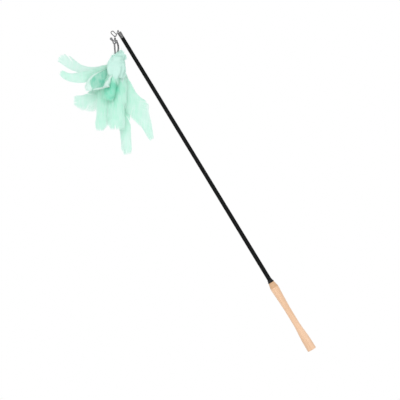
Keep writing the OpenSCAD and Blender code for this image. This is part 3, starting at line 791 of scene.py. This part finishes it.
def feather(name, material, slot, guide_shares, right_shares, left_shares, rolls, bends=(1, 1), face=FRONT,
            barb=BARB, loose=1.0, ends_from=(0, 0), pale_tips=True, hollow_shade=0.0, shade=SHADE_SHARE):
    """One feather of the lure: its shaft, its barbs and the down at its foot."""
    guide = [slot] + [slot + REACH * np.array(p) for p in guide_shares]
    vane = Vane(guide, in_mm(right_shares), in_mm(left_shares), rolls, face, bends)
    rng = np.random.default_rng(sum(name.encode()))
    plumage = Plumage()

    # The shaft starts inside the cap and ends just past the last barbs' roots
    t = np.linspace(0, SHAFT_TIP_SHARE, SHAFT_RINGS)
    path = np.concatenate([[slot + QUILL_IN * UP], vane.point(t)])
    radii = QUILL_D / 2 * np.concatenate([[1], 1 - SHAFT_THINNED_SHARE * t ** SHAFT_THIN_POWER])
    plumage.add_shaft(path, radii, SHAFT_SIDES)
    plumage.add_vane(vane, rng, loose, barb, ends_from)

    t = rng.uniform(*FOOT_DOWN_SHARES, FOOT_DOWN)
    left, out, way = vane.axes(t)
    spin = rng.uniform(0, 2 * np.pi, FOOT_DOWN)[:, None]
    ways = unit(FOOT_DOWN_ALONG * way + np.cos(spin) * left + FOOT_DOWN_OUT * np.sin(spin) * out)
    plumage.add_down(vane.point(t), ways, rng.uniform(*DOWN_LEN, FOOT_DOWN), rng)
    return plumage.finish(name + "_barbs", name, material, hollow_shade, shade, pale_tips=pale_tips)


# Down round the cap: small plumes that leave its rim. Those of the skirt and the sides rise, arch
# over and hang down, and those of the tuft stand up. Each has the turn of its root round the cap, in
# degrees, its tip from the middle of the cap's foot, and half its width.
SKIRT = [
    (-95, (-1, -17.5, -27.5), 8),
    (-65, (5.5, -14, -25.5), 7.6),
    (-120, (-6.6, -16.5, -23.5), 6.6),
    (-30, (9.2, -10, -26), 6.2),
    (0, (9.5, -3, -15), 4.6),
    (-145, (-4.6, -10, -13), 3.8),
    (-20, (7, -8, -33), 6.8),
    (-80, (1.5, -14.5, -15), 6.6),
    (-108, (-2, -12.5, -11), 4.8),
    (60, (6, 9, -18), 5.6),
    (95, (-1, 12, -22), 6.2),
    (135, (-6, 9, -16), 5.2),
    (180, (-6, 1, -12), 4),
]
SIDES = [
    (0, (8, -4, -17), 5.5),
    (15, (8.5, 3, -15), 5.5),
    (-15, (8.5, -8, -20), 5.5),
    (180, (-5, -2, -15), 5.5),
    (165, (-5, 4, -13), 5),
    (-165, (-5.5, -7, -17), 5.5),
]
TUFT = [
    (-10, (8, -2.5, 12.8), 4),
    (-35, (11, -5, 8), 4.6),
    (-5, (14.2, -3, 3.6), 4.2),
    (-30, (10.8, -4, -1.5), 4.2),
    (-60, (4.8, -6, 9), 4.6),
    (-95, (-0.5, -6.5, 6.6), 4),
    (-140, (-3.6, -4.5, 4.8), 3),
    (60, (6, 5.5, 8.5), 4),
    (110, (-1.5, 6.5, 7.6), 4),
]
PLUME_ROOT_R = 2.9
SKIRT_ROOT_H = 3.4
SKIRT_OUT = 2
SKIRT_RISE = 5
SKIRT_ROOT_SHARES = [0, 0, 0.62]
SKIRT_TIP_SHARES = [0.85, 0.95, 0.38]
TUFT_ROOT_H = 2.5
TUFT_OUT = 1
TUFT_GUIDE_SHARES = (0.3, 0.72)

PLUME_SHAFT_D = 0.25
PLUME_SHAFT_SIDES = 6
PLUME_SHAFT_RINGS = 16
PLUME_THINNED_SHARE = 0.7
PLUME_SHARES = [(0.05, 0.34), (0.22, 0.54), (0.55, 0.92), (0.78, 1), (0.91, 0.74), (1, 0.3)]
PLUME_ROLLS = (-10, -10)
PLUME_LOOSE = 1.5
PLUME_WISPS = 16
WISP_ACROSS = (0.5, 1)
WISP_OUT = 0.2
WISP_LEN_SHARES = (1.3, 1.9)

RING_STRANDS = 160
RING_R = 3.6
RING_H_SHARES = (0.1, 1.1)
RING_OUT = (0.2, 1.3)
DOWN_SEED = 7
DOWN_PALEST_FROM = 0.9


def front_or_back(tip):
    """The way that a plume faces, by where its tip hangs."""
    return FRONT if tip[1] < 0 else BACK


def add_plume(plumage, rng, guide, half_w, face):
    """Small loose feather with wisps."""
    edge = [(t, share * half_w) for t, share in PLUME_SHARES]
    vane = Vane(guide, edge, edge, PLUME_ROLLS, face)
    t = np.linspace(0, SHAFT_END_SHARE, PLUME_SHAFT_RINGS)
    plumage.add_shaft(vane.point(t), PLUME_SHAFT_D / 2 * (1 - PLUME_THINNED_SHARE * t), PLUME_SHAFT_SIDES)
    plumage.add_vane(vane, rng, PLUME_LOOSE, PLUME_BARB)
    t = rng.uniform(0, SHAFT_END_SHARE, PLUME_WISPS)
    left, out, way = vane.axes(t)
    side = rng.choice([-1, 1], PLUME_WISPS)[:, None]
    across = rng.uniform(*WISP_ACROSS, PLUME_WISPS)[:, None] * side
    ways = unit(way + across * left + rng.normal(0, WISP_OUT, (PLUME_WISPS, 1)) * out)
    lengths = vane.half(t, 0) * rng.uniform(*WISP_LEN_SHARES, PLUME_WISPS)
    plumage.add_down(vane.point(t), ways, lengths, rng)


def skirt_guide(turn, tip):
    root = PLUME_ROOT_R * out_at(turn) + SKIRT_ROOT_H * UP
    over = root * SKIRT_ROOT_SHARES + np.array(tip) * SKIRT_TIP_SHARES
    return [root, root + SKIRT_OUT * out_at(turn) + SKIRT_RISE * UP, over, tip]


def tuft_guide(turn, tip):
    root = PLUME_ROOT_R * out_at(turn) + TUFT_ROOT_H * UP
    low, high = [root + share * (tip - root) for share in TUFT_GUIDE_SHARES]
    return [root, low + TUFT_OUT * out_at(turn), high, tip]


def collar_of_down(material):
    """The plumes round the cap, and short down that hangs from the cap's side."""
    rng = np.random.default_rng(DOWN_SEED)
    plumage = Plumage()
    for turn, tip, half_w in SKIRT:
        add_plume(plumage, rng, skirt_guide(turn, tip), half_w, front_or_back(tip))
    for turn, tip, half_w in SIDES:
        add_plume(plumage, rng, skirt_guide(turn, tip), half_w, np.sign(tip[0]) * RIGHT)
    for turn, tip, half_w in TUFT:
        add_plume(plumage, rng, tuft_guide(turn, tip), half_w, front_or_back(tip))
    out = np.array([out_at(turn) for turn in rng.uniform(0, 360, RING_STRANDS)])
    roots = RING_R * out + CAP_H * rng.uniform(*RING_H_SHARES, RING_STRANDS)[:, None] * UP
    ways = unit(out * rng.uniform(*RING_OUT, RING_STRANDS)[:, None] - UP)
    plumage.add_down(roots, ways, rng.uniform(*DOWN_LEN, RING_STRANDS), rng)
    return plumage.finish("down", "down_tufts", material, palest_from=DOWN_PALEST_FROM)


# Handle, rod, collar and ferrule, turned on the wand's axis, with the CAD source's sizes

HANDLE_LEN = 106
HANDLE_TOP_D = 8
SHOULDER_D = 11.8
BEVEL_LEN = 8
TAPER_LEN = 36
TAPER_POWER = 1.3
WAIST_D = 8.5
FLARE_LEN = 41
BUTT_D = 12.4
SWELL_SHARE = 0.68
STEADY_SHARE = 0.28
ROD_LEN = 385
ROD_ROOT_D = 6
ROD_TIP_D = 5.4
COLLAR_D = 8.6
COLLAR_H = 4.2
COLLAR_RIM_H = 1.5
COLLAR_LIP = 0.45
FERRULE_LEN = 9
FERRULE_D = 5.6

# Places on the axis, from the middle of the handle
TOP_S = HANDLE_LEN / 2
FERRULE_S = TOP_S + ROD_LEN

# Small forms that only the scene has
AXIS_R = 0.01
HANDLE_SIDES = 96
HANDLE_RINGS = 260
TOP_EDGE_R = 0.35
TOP_EDGE_RINGS = 5
BUTT_EDGE_R = 0.7
BUTT_EDGE_RINGS = 8
SHOULDER_SANDED = 0.14
SHOULDER_SANDED_LEN = 0.7
CUT_FADE_LEN = 1.2
BEVEL_BROWN_SHARE = 0.75
BUTT_BROWN_SHARE = 0.14
ROD_SIDES = 64
ROD_RINGS = 120
TRIM_SIDES = 72
COLLAR_ROUND_R = 0.3
COLLAR_FOOT_CUT = (0.1, 0.12)
COLLAR_ROUND_FROM = 0.2
COLLAR_ROUND_RINGS = 6
COLLAR_NECK_RINGS = 14
COLLAR_TOP_W = 0.1
COLLAR_SEAM = 0.02
FERRULE_SEAM = (0.05, 0.02)
FERRULE_FOOT_CUT = 0.12
FERRULE_GROOVE = [(1.35, 0), (1.55, 0.06), (1.75, 0.22), (1.9, 0.26), (2.05, 0.22), (2.25, 0.06), (2.45, 0)]
FERRULE_ROUND_R = 0.5
FERRULE_ROUND_FROM = 0.15
FERRULE_ROUND_RINGS = 7
FERRULE_SIDE_LEN = 8.45
EYE_WIRE_R = 0.6


def round_edge(r, top, edge_r, turn_from, rings):
    """Profile of a rounded outer edge, up from the side of radius r to the face at height top."""
    turns = np.linspace(turn_from, np.pi / 2, rings)
    return [[r - edge_r * (1 - math.cos(a)), top - edge_r + edge_r * math.sin(a)] for a in turns]


def handle_d(down):
    """Diameter of the handle at a distance below its top."""
    bevel = HANDLE_TOP_D + (SHOULDER_D - HANDLE_TOP_D) * down / BEVEL_LEN
    rest = np.clip(1 - (down - BEVEL_LEN) / TAPER_LEN, 0, 1)
    taper = WAIST_D + (SHOULDER_D - WAIST_D) * rest ** TAPER_POWER
    x = np.clip((down - HANDLE_LEN + FLARE_LEN) / FLARE_LEN, 0, 1)
    swell = (1 - STEADY_SHARE) * ease(x / SWELL_SHARE) + STEADY_SHARE * x
    flare = WAIST_D + (BUTT_D - WAIST_D) * swell
    return np.where(down < BEVEL_LEN, bevel, np.where(down < BEVEL_LEN + TAPER_LEN, taper, flare))


def handle(material):
    """The wooden handle. Its cut attribute browns the bevel and, a little, the flare more towards the butt.
    """
    down = np.concatenate([
        np.linspace(0, TOP_EDGE_R, TOP_EDGE_RINGS)[:-1],
        np.linspace(TOP_EDGE_R, HANDLE_LEN - BUTT_EDGE_R, HANDLE_RINGS),
    ])
    soft = 1 - np.clip(down / TOP_EDGE_R, 0, 1)
    radius = handle_d(down) / 2 - TOP_EDGE_R * (1 - np.sqrt(1 - soft ** 2))
    radius = radius - SHOULDER_SANDED * np.exp(-((down - BEVEL_LEN) / SHOULDER_SANDED_LEN) ** 2)
    turn = np.linspace(0, np.pi / 2, BUTT_EDGE_RINGS)[1:]
    edge_r = radius[-1] - BUTT_EDGE_R * (1 - np.cos(turn))
    edge_down = down[-1] + BUTT_EDGE_R * np.sin(turn)
    down = np.concatenate([[0], down, edge_down, [edge_down[-1]]])[::-1]
    radius = np.concatenate([[ROD_ROOT_D / 2], radius, edge_r, [AXIS_R]])[::-1]
    obj = lathe("handle_turned", np.stack([radius, -down], 1), TOP_S, HANDLE_SIDES)
    cut = 1 - ease((down - BEVEL_LEN + CUT_FADE_LEN / 2) / CUT_FADE_LEN)
    toward_butt = ease((down - HANDLE_LEN + FLARE_LEN) / FLARE_LEN)
    point_value(obj, "cut", np.repeat(BEVEL_BROWN_SHARE * cut + BUTT_BROWN_SHARE * toward_butt, HANDLE_SIDES))
    return dress(obj, "wand", material, "handle")


def rod(material):
    """The tapered black rod, from the handle's top to the ferrule."""
    s = np.linspace(0, ROD_LEN, ROD_RINGS)
    radius = (ROD_ROOT_D + (ROD_TIP_D - ROD_ROOT_D) * s / ROD_LEN) / 2
    obj = lathe("rod_black", np.stack([radius, s], 1), TOP_S, ROD_SIDES)
    return dress(obj, "wand", material, "rod")


def collar(material):
    """The black collar: a rounded rim, and a hollow neck that narrows to the rod."""
    r, rod_r = COLLAR_D / 2, ROD_ROOT_D / 2
    top_r = rod_r + COLLAR_LIP
    neck_w, neck_h = r - COLLAR_ROUND_R - top_r, COLLAR_H - COLLAR_RIM_H
    cut_w, cut_h = COLLAR_FOOT_CUT
    profile = [[rod_r, 0], [r - cut_w, 0], [r, cut_h], [r, COLLAR_RIM_H - COLLAR_ROUND_R]]
    profile += round_edge(r, COLLAR_RIM_H, COLLAR_ROUND_R, COLLAR_ROUND_FROM, COLLAR_ROUND_RINGS)
    for a in np.linspace(0, np.pi / 2, COLLAR_NECK_RINGS)[1:]:
        profile.append([top_r + neck_w * (1 - math.sin(a)), COLLAR_RIM_H + neck_h * (1 - math.cos(a))])
    profile += [[top_r - COLLAR_TOP_W, COLLAR_H + COLLAR_SEAM], [rod_r - COLLAR_SEAM, COLLAR_H]]
    obj = lathe("collar_black", profile, TOP_S, TRIM_SIDES)
    return dress(obj, "wand", material, "collar")


def ferrule(material):
    """The metal cap on the rod's tip, with a crimped groove near its foot."""
    r = FERRULE_D / 2
    seam_w, seam_h = FERRULE_SEAM
    profile = [[ROD_TIP_D / 2 - seam_w, seam_h], [r - FERRULE_FOOT_CUT, 0], [r, FERRULE_FOOT_CUT]]
    profile += [[r - depth, height] for height, depth in FERRULE_GROOVE]
    profile.append([r, FERRULE_SIDE_LEN])
    profile += round_edge(r, FERRULE_LEN, FERRULE_ROUND_R, FERRULE_ROUND_FROM, FERRULE_ROUND_RINGS)
    profile += [[EYE_WIRE_R, FERRULE_LEN], [AXIS_R, FERRULE_LEN]]
    obj = lathe("ferrule_crimped", profile, FERRULE_S, TRIM_SIDES)
    return dress(obj, "wand", material, "tip_ferrule")


# Claw and gate, cast from the CAD solids, and the CAD nodes that only get a finish

CAST_SWELL = 0.14
CAST_VOXEL = 0.11
CAST_ROUNDS = 4
CAST_SOFTNESS = 0.5


def cast(name, node, body, material):
    """A cast piece: the CAD solid with its edges melted round."""
    source = frame["nodes"][node]
    obj = bpy.data.objects.new(name, source.data.copy())
    bpy.context.scene.collection.objects.link(obj)
    swell = obj.modifiers.new("swell", "DISPLACE")
    swell.strength = CAST_SWELL * MM
    swell.mid_level = 0
    remesh = obj.modifiers.new("remesh", "REMESH")
    remesh.mode = "VOXEL"
    remesh.voxel_size = CAST_VOXEL * MM
    remesh.use_smooth_shade = True
    soften = obj.modifiers.new("soften", "SMOOTH")
    soften.iterations = CAST_ROUNDS
    soften.factor = CAST_SOFTNESS
    bpy.context.view_layer.update()
    made = bpy.data.meshes.new_from_object(obj.evaluated_get(bpy.context.evaluated_depsgraph_get()))
    obj.modifiers.clear()
    obj.data = made
    obj.data.polygons.foreach_set("use_smooth", np.full(len(made.polygons), True))
    return dress(obj, body, material, node)


def finish_node(node, material):
    obj = frame["nodes"][node]
    obj.data.materials.clear()
    obj.data.materials.append(material)


# The stage: floor, lamps, world and camera. Its lengths are in metres, except for the sensor's width
# and what a pixel of the photograph covers. GRIP_PX is the grip's place in the photograph.

PHOTO_SIDE_PX = 400
GRIP_PX = (291.6, 316)
PIXEL = 1.346
CAMERA_AWAY = 3
CAMERA_SEES = 50
SENSOR_W = 36
FLOOR_Z = -0.25
FLOOR_R = 12
FLOOR_SIDES = 96
FLOOR_WHITE = (0.9, 0.9, 0.9)
FLOOR_FADE_R = (0.5, 1.2)
WORLD_FILL = 0.82
LAMP_SIZE = 1.2

# Each lamp's place, aim and power in watts
LAMPS = {
    "key": ((-0.55, -2.3, 1.15), (-0.15, 0, 0.2), 13),
    "fill": ((0.7, -2.2, -0.05), (-0.1, 0, 0.25), 7),
    "back": ((0.4, 2.3, 1.0), (-0.1, 0, 0.2), 12),
}


def stage():
    """A pale floor that shows as white where the camera looks far out on it."""
    turn = np.linspace(0, 2 * np.pi, FLOOR_SIDES, endpoint=False)
    ring = np.stack([np.cos(turn), np.sin(turn), np.zeros(FLOOR_SIDES)], 1) * FLOOR_R
    points = np.concatenate([ring, [[0, 0, 0]]]) + FLOOR_Z * UP
    i = np.arange(FLOOR_SIDES)
    fan = np.stack([i, (i + 1) % FLOOR_SIDES, np.full(FLOOR_SIDES, FLOOR_SIDES)], 1)
    floor = make_mesh("floor", points / MM, [fan])
    s = Surface("floor_white", FLOOR_WHITE, 0.9)
    away = s.add("ShaderNodeVectorMath", operation="LENGTH")
    s.wire(s.add("ShaderNodeTexCoord").outputs["Object"], away.inputs[0])
    path = s.add("ShaderNodeLightPath").outputs
    seen = s.math("MAXIMUM", path["Is Camera Ray"], path["Is Glossy Ray"])
    white = s.add("ShaderNodeEmission")
    white.inputs["Color"].default_value = (1, 1, 1, 1)
    mixed = s.add("ShaderNodeMixShader")
    s.wire(s.math("MULTIPLY", seen, s.span(away.outputs["Value"], *FLOOR_FADE_R)), mixed.inputs[0])
    s.wire(s.shader.outputs[0], mixed.inputs[1])
    s.wire(white.outputs[0], mixed.inputs[2])
    s.wire(mixed.outputs[0], s.nodes["Material Output"].inputs["Surface"])
    floor.data.materials.append(s.material)


def world():
    """Even pale light, and pure white where the camera, gloss or glass looks at it."""
    made = bpy.data.worlds.new("studio")
    bpy.context.scene.world = made
    made.use_nodes = True
    nodes, links = made.node_tree.nodes, made.node_tree.links
    background = nodes["Background"]
    background.inputs["Color"].default_value = (1, 1, 1, 1)
    path = nodes.new("ShaderNodeLightPath").outputs
    seen = path["Is Camera Ray"]
    for ray in ("Is Glossy Ray", "Is Transmission Ray"):
        either = nodes.new("ShaderNodeMath")
        either.operation = "MAXIMUM"
        links.new(seen, either.inputs[0])
        links.new(path[ray], either.inputs[1])
        seen = either.outputs[0]
    strength = nodes.new("ShaderNodeMapRange")
    strength.inputs["To Min"].default_value = WORLD_FILL
    strength.inputs["To Max"].default_value = 1
    links.new(seen, strength.inputs["Value"])
    links.new(strength.outputs["Result"], background.inputs["Strength"])


def lamp(name, place, aim, watts):
    data = bpy.data.lights.new(name, "AREA")
    data.shape = "SQUARE"
    data.size = LAMP_SIZE
    data.energy = watts
    obj = bpy.data.objects.new(name, data)
    bpy.context.scene.collection.objects.link(obj)
    obj.location = place
    obj.rotation_euler = (Vector(aim) - Vector(place)).to_track_quat("-Z", "Y").to_euler()


def camera():
    """Looks level at the middle of the photograph's frame."""
    pixel_m = PIXEL * MM
    data = bpy.data.cameras.new("camera")
    data.sensor_width = SENSOR_W
    data.lens = SENSOR_W * CAMERA_AWAY / (PHOTO_SIDE_PX * pixel_m)
    data.clip_end = CAMERA_SEES
    obj = bpy.data.objects.new("camera", data)
    bpy.context.scene.collection.objects.link(obj)
    middle = PHOTO_SIDE_PX / 2
    obj.location = ((middle - GRIP_PX[0]) * pixel_m, -CAMERA_AWAY, (GRIP_PX[1] - middle) * pixel_m)
    obj.rotation_euler = (math.pi / 2, 0, 0)
    bpy.context.scene.camera = obj


bpy.context.scene.view_settings.view_transform = "Standard"
camera()
world()
for lamp_name, (place, aim, watts) in LAMPS.items():
    lamp(lamp_name, place, aim, watts)
stage()

# The dark colour of each metal is painted dark reflection, laid in patches
PLATED, PLATED_DARK_REFLECTION = (0.172, 0.172, 0.176), (0.023, 0.023, 0.025)
plated = metal_material("plated_bright", PLATED, PLATED_DARK_REFLECTION, roughness=0.28, scale=0.6)
plated_wire = metal_material("plated_wire", PLATED, PLATED_DARK_REFLECTION, roughness=0.28, scale=0.8)
dull = metal_material("ferrule_dull", (0.2, 0.2, 0.2), (0.08, 0.08, 0.082), roughness=0.38, scale=0.5)
steel = metal_material("pin_bright", (0.62, 0.62, 0.63), (0.45, 0.45, 0.46), roughness=0.22, scale=1.5)

handle(wood_material())
rod(rod_material())
collar(rubber_material())
ferrule(dull)

PALE = (0.71, 0.885, 0.825)
mint = feather_material("mint_barbs", (0.17, 0.71, 0.49), (0.47, 0.86, 0.69), PALE)
# The curled feather's mint is a darker copy of the mint: painted shade of its hollow.
shaded_mint = feather_material("mint_curled_shaded", (0.14, 0.58, 0.41), (0.39, 0.7, 0.56), PALE)
down_mint = feather_material("mint_down", (0.55, 0.84, 0.74), (0.57, 0.85, 0.755), (0.62, 0.865, 0.785))
for feather_name, shape in FEATHERS.items():
    feather(feather_name, shaded_mint if feather_name == "feather_curled" else mint, **shape)
collar_of_down(down_mint)

for node, slot, material in (
    ("tip_eye", "wire_plated", plated_wire),
    ("swivel_bail", "swivel_plated", plated),
    ("swivel_post", "swivel_plated", plated),
    ("gate_pin", "pin_steel", steel),
    ("gate_spring", "pin_steel", steel),
    ("lure_ring", "wire_plated", plated_wire),
    ("lure_cap", "cap_mint", cap_material()),
    ("binding_thread", "thread_mint", thread_material()),
):
    finish_node(node, material)
cast("claw_cast", "claw_body", "clasp", plated)
cast("gate_cast", "gate", "gate", plated)
